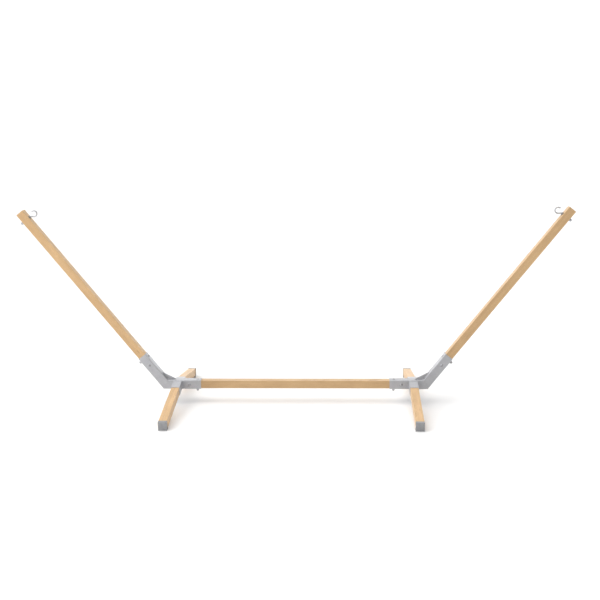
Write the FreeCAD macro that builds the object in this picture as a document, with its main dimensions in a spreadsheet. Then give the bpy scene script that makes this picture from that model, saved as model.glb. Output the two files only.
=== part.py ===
"""Timber hammock stand: square posts, beam and feet held in two welded steel corner brackets.

Frame: millimetres, +Z up, +X along the beam, origin on the floor under the middle of the beam.
The stand is the same at both ends, so every end piece is made once per side by the same function.
Members are drawn along their own Z axis, with their own X axis towards the top or inner face.
"""
import FreeCAD, Part
import math
import os
import Sketcher

os.makedirs("parts", exist_ok=True)
doc = FreeCAD.newDocument("hammock_stand")

# ---------------------------------------------------------------- driving dimensions
DIMENSIONS = {
    # timber frame
    "timber_width": 50.0,
    "timber_arris": 2.0,
    "timber_setback": 20.0,
    "post_angle": 51.7,
    "elbow_offset": 821.0,
    "post_reach": 1398.0,
    "foot_offset": 745.0,
    "foot_slope": 8.6,
    "foot_reach": 582.0,
    "foot_inner_end": 38.0,
    # welded square-tube brackets
    "socket_gap": 0.3,
    "socket_wall": 3.0,
    "socket_corner": 4.0,
    "post_socket_length": 232.0,
    "beam_socket_length": 225.0,
    "foot_socket_reach": 120.0,
    "cut_margin": 45.0,
    "gusset_thickness": 4.0,
    "gusset_post_leg": 60.0,
    "gusset_beam_leg": 52.0,
    "gusset_cope": 9.0,
    # plastic foot caps
    "cap_gap": 0.1,
    "cap_wall": 1.2,
    "cap_plate": 4.0,
    "cap_skirt": 16.0,
    "sole_length": 40.0,
    "sole_drop": 2.0,
    # through bolts, foot screws, washers and cap nuts
    "bolt_diameter": 10.0,
    "bolt_play": 0.25,
    "bolt_head_diameter": 17.5,
    "bolt_head_rim": 0.8,
    "bolt_head_crown": 4.4,
    "bolt_key_flats": 6.0,
    "bolt_key_depth": 3.2,
    "bolt_tail": 11.0,
    "end_bolt_inset": 25.0,
    "cross_bolt_inset": 73.0,
    "foot_screw_along": 80.0,
    "foot_screw_length": 27.0,
    "washer_diameter": 22.0,
    "washer_thickness": 2.0,
    "nut_flats": 17.0,
    "nut_hex_height": 8.0,
    "nut_dome_radius": 8.0,
    "nut_dome_centre": 10.0,
    "nut_thread_depth": 13.0,
    # hooks
    "hook_inset": 59.0,
    "hook_play": 0.08,
    "hook_wire_diameter": 8.8,
    "hook_ring_radius": 18.0,
    "hook_ring_height": 36.0,
    "hook_bend_height": 10.5,
    "hook_bend_radius": 8.0,
    "hook_tip_angle": 10.0,
    "hook_tip_round": 3.2,
    "hook_end_float": 0.2,
    "jam_nut_height": 5.0,
}

sheet = doc.addObject("Spreadsheet::Sheet", "dims")
for row, (alias, size) in enumerate(DIMENSIONS.items(), start=1):
    sheet.set(f"A{row}", alias)
    sheet.set(f"B{row}", str(size))
    sheet.setAlias(f"B{row}", alias)
doc.recompute()


def value(alias):
    """The number held by one cell of the sheet."""
    return float(sheet.get(alias))


def cell(text):
    """Turn the dimension names in a formula into references to the sheet."""
    for alias in sorted(DIMENSIONS, key=len, reverse=True):
        text = text.replace(f"[{alias}]", f"dims.{alias}")
    return text


def number(formula):
    """Work a formula out with the sheet's numbers, for the first drawing of a sketch."""
    result = sheet.evalExpression(formula.replace("[", "").replace("]", ""))
    return float(getattr(result, "Value", result))


# Formulas that several sub-parts share.
HALF_TIMBER = "[timber_width] / 2"
SOCKET_INNER = "([timber_width] + 2 * [socket_gap])"
SOCKET_OUTER = "([timber_width] + 2 * [socket_gap] + 2 * [socket_wall])"
MITRE_SLOPE = "tan([post_angle] * 1deg / 2)"
HOOK_TAIL = "([washer_thickness] + [hook_end_float] / 2 + [bolt_tail])"
HOOK_THREAD_TOP = "([washer_thickness] + [hook_end_float] / 2 + [jam_nut_height])"
FOOT_SIN = "sin([foot_slope] * 1deg)"
FOOT_COS = "cos([foot_slope] * 1deg)"

half_timber = value("timber_width") / 2
half_socket = half_timber + value("socket_gap") + value("socket_wall")
post_angle = math.radians(value("post_angle"))
foot_slope = math.radians(value("foot_slope"))
foot_length = value("foot_reach") / math.cos(foot_slope)
cap_half = half_timber + value("cap_gap") + value("cap_wall")

# The floor lies under the caps' soles, which hang from the low corner of each foot.
beam_height = (foot_length * math.sin(foot_slope) + (half_timber + cap_half) * math.cos(foot_slope)
               - half_timber + value("sole_drop"))


# ---------------------------------------------------------------- places
def frame(origin, up, along):
    """Placement whose own Z runs along the member and whose own X is its top or inner side."""
    up = FreeCAD.Vector(*up)
    along = FreeCAD.Vector(*along)
    rotation = FreeCAD.Rotation(up, along.cross(up), along, "ZXY")
    return FreeCAD.Placement(FreeCAD.Vector(*origin), rotation)


def post_frame(side):
    """At the elbow, on the post's axis, running up the post. side is -1 for left, 1 for right."""
    return frame((side * value("elbow_offset"), 0, beam_height),
                 (-side * math.sin(post_angle), 0, math.cos(post_angle)),
                 (side * math.cos(post_angle), 0, math.sin(post_angle)))


def beam_frame(side):
    """At the elbow, on the beam's axis, running towards the middle of the stand."""
    return frame((side * value("elbow_offset"), 0, beam_height), (0, 0, 1), (-side, 0, 0))


def foot_frame(side, end):
    """On a foot's axis where its top face crosses the beam's axis plane. end is -1 front, 1 back."""
    up = (0, end * math.sin(foot_slope), math.cos(foot_slope))
    along = (0, end * math.cos(foot_slope), -math.sin(foot_slope))
    origin = (side * value("foot_offset"), -half_timber * up[1],
              beam_height + half_timber - half_timber * up[2])
    return frame(origin, up, along)


def hook_frame(side):
    """On the post's axis at the hook's hole: Z out of the post's inner face, X down the post."""
    place = value("post_reach") - value("hook_inset")
    return turned(moved(post_frame(side), z=place), (0, 1, 0), 90)


def moved(placement, x=0.0, y=0.0, z=0.0):
    """The same placement, shifted along its own axes."""
    return placement * FreeCAD.Placement(FreeCAD.Vector(x, y, z), FreeCAD.Rotation())


def turned(placement, axis, degrees):
    """The same placement, turned about one of its own axes."""
    return placement * FreeCAD.Placement(FreeCAD.Vector(), FreeCAD.Rotation(FreeCAD.Vector(*axis), degrees))


# ---------------------------------------------------------------- PartDesign helpers
def new_body(label):
    body = doc.addObject("PartDesign::Body", label)
    body.Label = label
    return body


def new_sketch(body, name, role):
    """A sketch on one of the body's own origin planes."""
    sketch = body.newObject("Sketcher::SketchObject", name)
    plane = [item for item in body.Origin.OriginFeatures if item.Role == role][0]
    sketch.AttachmentSupport = (plane, [""])
    sketch.MapMode = "FlatFace"
    return sketch


def bind(sketch, constraint, formula):
    """Add one named dimension whose value follows a formula on the sheet."""
    index = sketch.addConstraint(constraint)
    sketch.setExpression(f"Constraints[{index}]", cell(formula))


def rounded_square(sketch, side_formula, side, radius_formula, radius):
    """A square with round corners, centred on the sketch's origin."""
    half = side / 2
    flat = half - radius
    first = sketch.GeometryCount
    corners = [(1, -1, 270), (1, 1, 0), (-1, 1, 90), (-1, -1, 180)]
    for (x, y, start), (next_x, next_y, _) in zip(corners, corners[1:] + corners[:1]):
        centre = FreeCAD.Vector(x * flat, y * flat, 0)
        turn = math.radians(start + 90)
        outward = FreeCAD.Vector(math.cos(turn), math.sin(turn), 0) * radius
        circle = Part.Circle(centre, FreeCAD.Vector(0, 0, 1), radius)
        sketch.addGeometry(Part.ArcOfCircle(circle, math.radians(start), turn))
        next_centre = FreeCAD.Vector(next_x * flat, next_y * flat, 0)
        sketch.addGeometry(Part.LineSegment(centre + outward, next_centre + outward))
    for corner in range(4):
        arc = first + 2 * corner
        line = arc + 1
        next_arc = first + 2 * ((corner + 1) % 4)
        sketch.addConstraint(Sketcher.Constraint("Tangent", arc, 2, line, 1))
        sketch.addConstraint(Sketcher.Constraint("Tangent", line, 2, next_arc, 1))
        sketch.addConstraint(Sketcher.Constraint("Horizontal" if corner % 2 else "Vertical", line))
        if corner:
            sketch.addConstraint(Sketcher.Constraint("Equal", first, arc))
    right, top, left, bottom = [first + 2 * corner + 1 for corner in range(4)]
    bind(sketch, Sketcher.Constraint("Radius", first, radius), radius_formula)
    bind(sketch, Sketcher.Constraint("DistanceX", -1, 1, right, 1, half), f"{side_formula} / 2")
    bind(sketch, Sketcher.Constraint("DistanceX", left, 1, -1, 1, half), f"{side_formula} / 2")
    bind(sketch, Sketcher.Constraint("DistanceY", -1, 1, top, 1, half), f"{side_formula} / 2")
    bind(sketch, Sketcher.Constraint("DistanceY", bottom, 1, -1, 1, half), f"{side_formula} / 2")


def polygon(sketch, formulas):
    """A closed polygon whose corners follow formulas, given as (x, y) pairs."""
    corners = [(number(x), number(y)) for x, y in formulas]
    count = len(corners)
    for index, (x, y) in enumerate(corners):
        next_x, next_y = corners[(index + 1) % count]
        sketch.addGeometry(Part.LineSegment(FreeCAD.Vector(x, y, 0), FreeCAD.Vector(next_x, next_y, 0)))
    for index in range(count):
        sketch.addConstraint(Sketcher.Constraint("Coincident", index, 2, (index + 1) % count, 1))
    for index, ((x, y), (formula_x, formula_y)) in enumerate(zip(corners, formulas)):
        for kind, distance, formula in (("DistanceX", x, formula_x), ("DistanceY", y, formula_y)):
            if distance < 0:
                bind(sketch, Sketcher.Constraint(kind, index, 1, -1, 1, -distance), f"-({formula})")
            else:
                bind(sketch, Sketcher.Constraint(kind, -1, 1, index, 1, distance), formula)


def pad(body, sketch, name, formula, middle=False):
    feature = body.newObject("PartDesign::Pad", name)
    feature.Profile = sketch
    feature.setExpression("Length", cell(formula))
    feature.Midplane = middle
    return feature


def cut_through(body, sketch, name, both_ways=True):
    """Remove a sketch's outline right through the body, both ways or only against the sketch's normal."""
    feature = body.newObject("PartDesign::Pocket", name)
    feature.Profile = sketch
    feature.Type = 1
    feature.Midplane = both_ways
    return feature


def drill(body, name, role, places, diameter_formula, both_ways=True):
    """Cross-drill a member, right through or only from one side to its axis.

    places are distances along its axis. A one-way UP_HOLE comes in from the underside.
    """
    sketch = new_sketch(body, name + "_places", role)
    diameter = number(diameter_formula)
    for formula in places:
        along = number(formula)
        index = sketch.addGeometry(Part.Circle(FreeCAD.Vector(0, along, 0), FreeCAD.Vector(0, 0, 1),
                                               diameter / 2))
        sketch.addConstraint(Sketcher.Constraint("PointOnObject", index, 3, -2))
        bind(sketch, Sketcher.Constraint("DistanceY", -1, 1, index, 3, along), formula)
        bind(sketch, Sketcher.Constraint("Diameter", index, diameter), diameter_formula)
    return cut_through(body, sketch, name, both_ways)


BOLT_HOLE = "[bolt_diameter] + 2 * [bolt_play]"
HOOK_HOLE = "[bolt_diameter] + 2 * [hook_play]"
UP_HOLE = "YZ_Plane"
CROSS_HOLE = "XZ_Plane"


# ---------------------------------------------------------------- timber
def timber(label, placement, length_formula, drillings):
    """A planed square timber with eased edges, drilled for its bolts."""
    body = new_body(label)
    section = new_sketch(body, label + "_section", "XY_Plane")
    rounded_square(section, "[timber_width]", value("timber_width"), "[timber_arris]", value("timber_arris"))
    pad(body, section, label + "_length", length_formula)
    for index, drilling in enumerate(drillings):
        drill(body, f"{label}_holes_{index}", *drilling)
    body.Placement = placement
    return body


def post(label, side):
    """A sloping post, from just above the mitre to the hook end."""
    start = "[timber_setback]"
    drillings = [
        (UP_HOLE, [f"[post_socket_length] - [end_bolt_inset] - {start}"], BOLT_HOLE),
        (CROSS_HOLE, [f"[post_socket_length] - [cross_bolt_inset] - {start}"], BOLT_HOLE),
        (UP_HOLE, [f"[post_reach] - [hook_inset] - {start}"], HOOK_HOLE),
    ]
    placement = moved(post_frame(side), z=value("timber_setback"))
    return timber(label, placement, f"[post_reach] - {start}", drillings)


def beam(label):
    """The level timber between the two brackets."""
    start = "[timber_setback]"
    length = f"(2 * [elbow_offset] - 2 * {start})"
    up = f"[beam_socket_length] - [end_bolt_inset] - {start}"
    cross = f"[beam_socket_length] - [cross_bolt_inset] - {start}"
    drillings = [
        (UP_HOLE, [up, f"{length} - ({up})"], BOLT_HOLE),
        (CROSS_HOLE, [cross, f"{length} - ({cross})"], BOLT_HOLE),
    ]
    placement = moved(beam_frame(-1), z=value("timber_setback"))
    return timber(label, placement, length, drillings)


def foot(label, side, end):
    """A foot timber, sloping from the bracket down to its cap."""
    start = "[foot_inner_end]"
    length = f"[foot_reach] / {FOOT_COS} - [cap_plate] - {start}"
    drillings = [(UP_HOLE, [f"[foot_screw_along] - {start}"], BOLT_HOLE, False)]
    placement = moved(foot_frame(side, end), z=value("foot_inner_end"))
    return timber(label, placement, length, drillings)


# ---------------------------------------------------------------- welded bracket
def tube(body, label, back_formula, length_formula):
    """A square tube that starts a little behind the body's origin."""
    section = new_sketch(body, label + "_section", "XY_Plane")
    section.setExpression("AttachmentOffset.Base.z", cell(f"-({back_formula})"))
    wall = value("socket_wall")
    outer_radius = value("socket_corner")
    rounded_square(section, SOCKET_OUTER, 2 * half_socket, "[socket_corner]", outer_radius)
    rounded_square(section, SOCKET_INNER, 2 * (half_socket - wall), "([socket_corner] - [socket_wall])",
                   outer_radius - wall)
    pad(body, section, label + "_tube", f"{length_formula} + {back_formula}")


def mitred_socket(label, placement, length_formula):
    """One arm of the corner bracket: square tube cut on the mitre and drilled for two bolts."""
    body = new_body(label)
    tube(body, label, "[cut_margin] / 2", length_formula)
    mitre = new_sketch(body, label + "_mitre", "XZ_Plane")
    reach = "[cut_margin]"
    polygon(mitre, [
        (f"-{reach}", f"-{reach} * {MITRE_SLOPE}"),
        (reach, f"{reach} * {MITRE_SLOPE}"),
        (reach, f"-2 * {reach}"),
        (f"-{reach}", f"-2 * {reach}"),
    ])
    cut_through(body, mitre, label + "_mitre_cut")
    drill(body, label + "_end_hole", UP_HOLE, [f"{length_formula} - [end_bolt_inset]"], BOLT_HOLE)
    drill(body, label + "_cross_hole", CROSS_HOLE, [f"{length_formula} - [cross_bolt_inset]"], BOLT_HOLE)
    body.Placement = placement
    return body


def foot_socket(label, side, end):
    """A short square tube welded square-on to the side of the beam arm, sloping down."""
    body = new_body(label)
    tube(body, label, "0", f"[foot_socket_reach] / {FOOT_COS}")
    weld = new_sketch(body, label + "_weld_face", "XZ_Plane")
    reach = "[cut_margin]"
    face = f"{SOCKET_OUTER} / 2"
    polygon(weld, [
        (reach, f"({face} - {FOOT_SIN} * ({reach} - {HALF_TIMBER})) / {FOOT_COS}"),
        (f"-{reach}", f"({face} + {FOOT_SIN} * ({reach} + {HALF_TIMBER})) / {FOOT_COS}"),
        (f"-{reach}", f"-{reach}"),
        (reach, f"-{reach}"),
    ])
    cut_through(body, weld, label + "_weld_cut")
    drill(body, label + "_hole", UP_HOLE, ["[foot_screw_along]"], BOLT_HOLE, both_ways=False)
    body.Placement = foot_frame(side, end)
    return body


def gusset(label, side):
    """The flat stiffener standing in the inside corner of the bracket, on its middle plane."""
    body = new_body(label)
    outline = new_sketch(body, label + "_outline", "XZ_Plane")
    half = f"({SOCKET_OUTER} / 2)"
    corner_x = f"{half} * {MITRE_SLOPE}"
    cope = "[gusset_cope]"
    post_cos = "cos([post_angle] * 1deg)"
    post_sin = "sin([post_angle] * 1deg)"
    beam_leg = f"({corner_x} + [gusset_beam_leg])"
    polygon(outline, [
        (half, f"{corner_x} + {cope}"),
        (half, beam_leg),
        (f"{half} + {cope} / 3", beam_leg),
        (f"{half} + [gusset_post_leg] * {post_sin}",
         f"{corner_x} - [gusset_post_leg] * {post_cos} + {cope} / 3"),
        (f"{half} + [gusset_post_leg] * {post_sin}", f"{corner_x} - [gusset_post_leg] * {post_cos}"),
        (f"{half} + {cope} * {post_sin}", f"{corner_x} - {cope} * {post_cos}"),
    ])
    pad(body, outline, label + "_plate", "[gusset_thickness]", middle=True)
    body.Placement = beam_frame(side)
    return body


# ---------------------------------------------------------------- foot caps
def foot_cap(label, side, end):
    """A moulded cap over the end of a foot, with a level sole under it."""
    body = new_body(label)
    outline = new_sketch(body, label + "_profile", "XZ_Plane")
    half = f"({HALF_TIMBER} + [cap_gap] + [cap_wall])"
    sole_front_x = f"(-{half} - [sole_drop] * {FOOT_COS})"
    sole_front_z = f"([cap_plate] + [sole_drop] * {FOOT_SIN})"
    sole_back_x = f"({sole_front_x} - [sole_length] * {FOOT_SIN})"
    sole_back_z = f"({sole_front_z} - [sole_length] * {FOOT_COS})"
    polygon(outline, [
        (half, "-[cap_skirt]"),
        (half, "[cap_plate]"),
        (f"-{half}", "[cap_plate]"),
        (sole_front_x, sole_front_z),
        (sole_back_x, sole_back_z),
        (f"-{HALF_TIMBER} + [cap_wall]", sole_back_z),
        (f"-{HALF_TIMBER} + [cap_wall]", "-[cap_skirt]"),
    ])
    pad(body, outline, label + "_block", f"2 * {half}", middle=True)
    cavity = new_sketch(body, label + "_cavity", "XY_Plane")
    inner = "([timber_width] + 2 * [cap_gap])"
    rounded_square(cavity, inner, 2 * (half_timber + value("cap_gap")), "[timber_arris]",
                   value("timber_arris"))
    pocket = body.newObject("PartDesign::Pocket", label + "_socket")
    pocket.Profile = cavity
    pocket.Type = 0
    pocket.setExpression("Length", cell("[sole_length] + [cap_skirt]"))
    body.Placement = moved(foot_frame(side, end), z=foot_length - value("cap_plate"))
    return body


# ---------------------------------------------------------------- hooks
def hook(label, side):
    """An open eye bent from round bar, with a threaded shank that turns in the post's cross hole.

    Drawn with its shank along Z from the post's axis; its own X points down the post.
    """
    body = new_body(label)
    wire = "[hook_wire_diameter]"
    section = new_sketch(body, label + "_wire", "XY_Plane")
    disc(section, wire)
    spine = new_sketch(body, label + "_spine", "XZ_Plane")
    hook_spine(spine)
    bend = body.newObject("PartDesign::AdditivePipe", label + "_bend")
    bend.Profile = section
    bend.Spine = spine
    shank = new_sketch(body, label + "_shank_section", "XY_Plane")
    disc(shank, "[bolt_diameter]")
    shank.setExpression("AttachmentOffset.Base.z", cell(f"-({HALF_TIMBER} + {HOOK_TAIL})"))
    pad(body, shank, label + "_shank", f"2 * {HALF_TIMBER} + {HOOK_TAIL} + {HOOK_THREAD_TOP}")
    doc.recompute()
    ring_centre = FreeCAD.Vector(0, 0, half_timber + value("hook_ring_height"))
    tip_turn = math.radians(180 + value("hook_tip_angle"))
    tip = ring_centre + FreeCAD.Vector(math.cos(tip_turn), 0, math.sin(tip_turn)) * value("hook_ring_radius")
    solid = body.Tip
    edges = [f"Edge{index}" for index, edge in enumerate(solid.Shape.Edges, start=1)
             if (edge.CenterOfMass - tip).Length < 0.5]
    rounding = body.newObject("PartDesign::Fillet", label + "_tip")
    rounding.Base = (solid, edges)
    rounding.setExpression("Radius", cell("[hook_tip_round]"))
    body.Placement = hook_frame(side)
    return body


def disc(sketch, diameter_formula):
    """A circle on the sketch's origin."""
    diameter = number(diameter_formula)
    circle = Part.Circle(FreeCAD.Vector(), FreeCAD.Vector(0, 0, 1), diameter / 2)
    index = sketch.addGeometry(circle)
    sketch.addConstraint(Sketcher.Constraint("Coincident", index, 3, -1, 1))
    bind(sketch, Sketcher.Constraint("Diameter", index, diameter), diameter_formula)


def hook_spine(sketch):
    """Centre line of the wire: up the shank, one bend aside, then round the eye to the tip."""
    lean = "asin([hook_ring_radius] / ([hook_ring_height] - [hook_bend_height]))"
    rise = f"{HALF_TIMBER} + [hook_bend_height] - [hook_bend_radius] * tan({lean} / 2)"
    centre_height = f"{HALF_TIMBER} + [hook_ring_height]"
    ring = value("hook_ring_radius")
    bend = value("hook_bend_radius")
    turn = math.asin(ring / (value("hook_ring_height") - value("hook_bend_height")))
    straight = number(rise)
    height = number(centre_height)
    tip_turn = math.radians(value("hook_tip_angle"))
    normal = FreeCAD.Vector(0, 0, 1)
    bend_start = FreeCAD.Vector(0, straight, 0)
    bend_centre = FreeCAD.Vector(bend, straight, 0)
    bend_end = bend_centre + FreeCAD.Vector(-math.cos(turn), math.sin(turn), 0) * bend
    ring_centre = FreeCAD.Vector(0, height, 0)
    ring_start = ring_centre + FreeCAD.Vector(math.cos(turn), -math.sin(turn), 0) * ring
    sketch.addGeometry(Part.LineSegment(FreeCAD.Vector(), bend_start))
    sketch.addGeometry(Part.ArcOfCircle(Part.Circle(bend_centre, normal, bend), math.pi - turn, math.pi))
    sketch.addGeometry(Part.LineSegment(bend_end, ring_start))
    sketch.addGeometry(Part.ArcOfCircle(Part.Circle(ring_centre, normal, ring), -turn, math.pi + tip_turn))
    sketch.addConstraint(Sketcher.Constraint("Coincident", 0, 1, -1, 1))
    sketch.addConstraint(Sketcher.Constraint("Vertical", 0))
    sketch.addConstraint(Sketcher.Constraint("Tangent", 0, 2, 1, 2))
    sketch.addConstraint(Sketcher.Constraint("Tangent", 1, 1, 2, 1))
    sketch.addConstraint(Sketcher.Constraint("Tangent", 2, 2, 3, 1))
    sketch.addConstraint(Sketcher.Constraint("PointOnObject", 3, 3, -2))
    bind(sketch, Sketcher.Constraint("DistanceY", 0, 1, 0, 2, straight), rise)
    bind(sketch, Sketcher.Constraint("Radius", 1, bend), "[hook_bend_radius]")
    bind(sketch, Sketcher.Constraint("DistanceY", -1, 1, 3, 3, height), centre_height)
    bind(sketch, Sketcher.Constraint("Radius", 3, ring), "[hook_ring_radius]")
    bind(sketch, Sketcher.Constraint("DistanceY", 3, 2, 3, 3, ring * math.sin(tip_turn)),
         "[hook_ring_radius] * sin([hook_tip_angle] * 1deg)")


# ---------------------------------------------------------------- turned and threaded pieces
def cylinder(name, diameter, height, base="0"):
    item = doc.addObject("Part::Cylinder", name)
    item.setExpression("Radius", cell(f"({diameter}) / 2"))
    item.setExpression("Height", cell(height))
    item.setExpression("Placement.Base.z", cell(base))
    return item


def hexagon(name, flats, height, base="0"):
    item = doc.addObject("Part::Prism", name)
    item.Polygon = 6
    item.setExpression("Circumradius", cell(f"{flats} / (2 * cos(30deg))"))
    item.setExpression("Height", cell(height))
    item.setExpression("Placement.Base.z", cell(base))
    return item


def ball(name, radius, base):
    item = doc.addObject("Part::Sphere", name)
    item.setExpression("Radius", cell(radius))
    item.setExpression("Placement.Base.z", cell(base))
    return item


def crown(name, diameter, height, base):
    """The top slice of a ball, with a given width and height, standing on a level."""
    radius = f"((({diameter}) / 2) ^ 2 + ({height}) ^ 2) / (2 * ({height}))"
    item = doc.addObject("Part::Sphere", name)
    item.setExpression("Radius", cell(radius))
    item.setExpression("Angle1", cell(f"asin(1 - ({height}) / ({radius}))"))
    item.setExpression("Placement.Base.z", cell(f"{base} + {height} - {radius}"))
    return item


def fused(name, *pieces):
    item = doc.addObject("Part::MultiFuse", name)
    item.Shapes = list(pieces)
    return item


def less(name, base, tool, placement):
    """One piece with another cut away from it, then put in its place."""
    item = doc.addObject("Part::Cut", name)
    item.Base = base
    item.Tool = tool
    item.Placement = placement
    return item


def bolt(name, placement, reach):
    """A domed bolt or screw with a hexagon key. Its own Z points out of the head, from the head's seat."""
    rim = cylinder(name + "_rim", "[bolt_head_diameter]", "[bolt_head_rim]")
    top = crown(name + "_crown", "[bolt_head_diameter]", "[bolt_head_crown]", "[bolt_head_rim]")
    shank = cylinder(name + "_shank", "[bolt_diameter]", reach, f"-({reach})")
    key_base = "[bolt_head_rim] + [bolt_head_crown] - [bolt_key_depth]"
    key = hexagon(name + "_key", "[bolt_key_flats]", "2 * [bolt_key_depth]", key_base)
    return less(name, fused(name + "_blank", rim, top, shank), key, placement)


def washer(name, placement):
    """A plain washer, standing on its own origin along Z."""
    rim = cylinder(name + "_rim", "[washer_diameter]", "[washer_thickness]")
    bore = cylinder(name + "_bore", BOLT_HOLE, "[washer_thickness]")
    return less(name, rim, bore, placement)


def cap_nut(name, placement):
    """A domed nut, standing on its own origin with the dome up Z."""
    base = hexagon(name + "_hex", "[nut_flats]", "[nut_hex_height]")
    neck = cylinder(name + "_neck", "2 * [nut_dome_radius]", "[nut_dome_centre]")
    dome = ball(name + "_dome", "[nut_dome_radius]", "[nut_dome_centre]")
    thread = cylinder(name + "_thread", "[bolt_diameter]", "[nut_thread_depth]")
    return less(name, fused(name + "_blank", base, neck, dome), thread, placement)


def jam_nut(label, side):
    """The thin nut that locks the hook's shank against the inner washer."""
    height = "[jam_nut_height]"
    base = hexagon(label + "_hex", "[nut_flats]", height)
    thread = cylinder(label + "_thread", "[bolt_diameter]", height)
    seat = half_timber + value("washer_thickness") + value("hook_end_float") / 2
    return less(label, base, thread, moved(hook_frame(side), z=seat))


def group(label, pieces):
    """Several like pieces under one name, each still its own solid."""
    item = doc.addObject("Part::Compound", label)
    item.Links = pieces
    return item


def bolt_ends(side):
    """Where each through bolt of a bracket seats: (head side, far side), both pointing outwards."""
    post_end = value("post_socket_length")
    beam_end = value("beam_socket_length")
    upwards = ((0, 1, 0), 90)
    to_front = ((1, 0, 0), -90 * side)
    axes = [
        (moved(post_frame(side), z=post_end - value("end_bolt_inset")), upwards),
        (moved(post_frame(side), z=post_end - value("cross_bolt_inset")), to_front),
        (moved(beam_frame(side), z=beam_end - value("end_bolt_inset")), upwards),
        (moved(beam_frame(side), z=beam_end - value("cross_bolt_inset")), (to_front[0], -to_front[1])),
    ]
    ends = []
    for middle, (axis, degrees) in axes:
        outward = turned(middle, axis, degrees)
        head_seat = moved(outward, z=half_socket)
        far_face = turned(moved(outward, z=-half_socket), (1, 0, 0), 180)
        ends.append((head_seat, far_face))
    return ends


def foot_screw_seat(side, end):
    """On the underside of a foot socket, at its screw, pointing down out of it."""
    middle = moved(foot_frame(side, end), z=value("foot_screw_along"))
    return moved(turned(middle, (0, 1, 0), -90), z=half_socket)


def bracket_fasteners(side, side_name):
    """The four through bolts of one bracket with their washers and cap nuts, and its two foot screws."""
    reach = f"{SOCKET_OUTER} + [washer_thickness] + [bolt_tail]"
    bolts = []
    washers = []
    nuts = []
    for index, (head_seat, far_face) in enumerate(bolt_ends(side), start=1):
        tag = f"{side_name}_{index}"
        bolts.append(bolt(f"bolt_{tag}", head_seat, reach))
        washers.append(washer(f"washer_{tag}", far_face))
        nuts.append(cap_nut(f"nut_{tag}", moved(far_face, z=value("washer_thickness"))))
    screws = [bolt(f"screw_{side_name}_{end_name}", foot_screw_seat(side, end), "[foot_screw_length]")
              for end, end_name in ((-1, "front"), (1, "back"))]
    return [
        group(f"{side_name}_foot_screws", screws),
        group(f"{side_name}_socket_bolts", bolts),
        group(f"{side_name}_socket_washers", washers),
        group(f"{side_name}_socket_nuts", nuts),
    ]


def hook_fasteners(side, side_name):
    """The two washers that bear on the post and the nuts that keep the hook in it."""
    inner_face = moved(hook_frame(side), z=half_timber)
    outer_face = turned(moved(hook_frame(side), z=-half_timber), (1, 0, 0), 180)
    seat = value("washer_thickness") + value("hook_end_float") / 2
    washers = [
        washer(f"hook_washer_{side_name}_inner", inner_face),
        washer(f"hook_washer_{side_name}_outer", outer_face),
    ]
    return [
        group(f"{side_name}_hook_washers", washers),
        jam_nut(f"{side_name}_hook_jam_nut", side),
        cap_nut(f"{side_name}_hook_cap_nut", moved(outer_face, z=seat)),
    ]


# ---------------------------------------------------------------- assembly
sub_parts = [beam("centre_beam")]
for side, side_name in ((-1, "left"), (1, "right")):
    sub_parts.append(post(f"{side_name}_post", side))
    sub_parts.append(mitred_socket(f"{side_name}_post_socket", post_frame(side), "[post_socket_length]"))
    sub_parts.append(mitred_socket(f"{side_name}_beam_socket", beam_frame(side), "[beam_socket_length]"))
    sub_parts.append(gusset(f"{side_name}_gusset", side))
    for end, end_name in ((-1, "front"), (1, "back")):
        sub_parts.append(foot(f"{side_name}_{end_name}_foot", side, end))
        sub_parts.append(foot_socket(f"{side_name}_{end_name}_foot_socket", side, end))
        sub_parts.append(foot_cap(f"{side_name}_{end_name}_foot_cap", side, end))
    sub_parts.append(hook(f"{side_name}_hook", side))
    sub_parts.extend(hook_fasteners(side, side_name))
    sub_parts.extend(bracket_fasteners(side, side_name))

doc.recompute()
for item in doc.Objects:
    if "Invalid" in item.State or "Error" in item.State:
        raise RuntimeError(f"{item.Label} failed: {item.State}")
for item in sub_parts:
    if item.Shape.isNull() or not item.Shape.isValid():
        raise RuntimeError(f"{item.Label} has no valid shape")
    item.Shape.exportStep(f"parts/{item.Label}.step")
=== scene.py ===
"""Looks of the timber hammock stand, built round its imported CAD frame.

Timbers, tubes, caps and hooks are drawn in millimetres in the frame of their own member: Z runs along the
member and X points to its top or inner face, so a material's object coordinates follow the timber's grain.
Sets of fasteners are drawn in the stand's own frame.
"""
import math

import bmesh
import bpy
from mathutils import Matrix, Vector


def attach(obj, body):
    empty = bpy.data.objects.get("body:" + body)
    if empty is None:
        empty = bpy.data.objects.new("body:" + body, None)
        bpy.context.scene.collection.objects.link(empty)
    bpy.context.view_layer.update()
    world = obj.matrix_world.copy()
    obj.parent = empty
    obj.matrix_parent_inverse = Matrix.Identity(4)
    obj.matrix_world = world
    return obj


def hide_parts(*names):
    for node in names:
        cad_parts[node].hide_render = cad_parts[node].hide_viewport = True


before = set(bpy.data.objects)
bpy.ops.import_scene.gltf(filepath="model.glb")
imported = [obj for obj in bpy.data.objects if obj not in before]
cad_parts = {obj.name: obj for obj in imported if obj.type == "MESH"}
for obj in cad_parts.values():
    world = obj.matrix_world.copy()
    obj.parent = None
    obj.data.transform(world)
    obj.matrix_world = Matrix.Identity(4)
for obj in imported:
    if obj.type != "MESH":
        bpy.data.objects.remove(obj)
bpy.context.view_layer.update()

MM = 0.001

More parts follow.
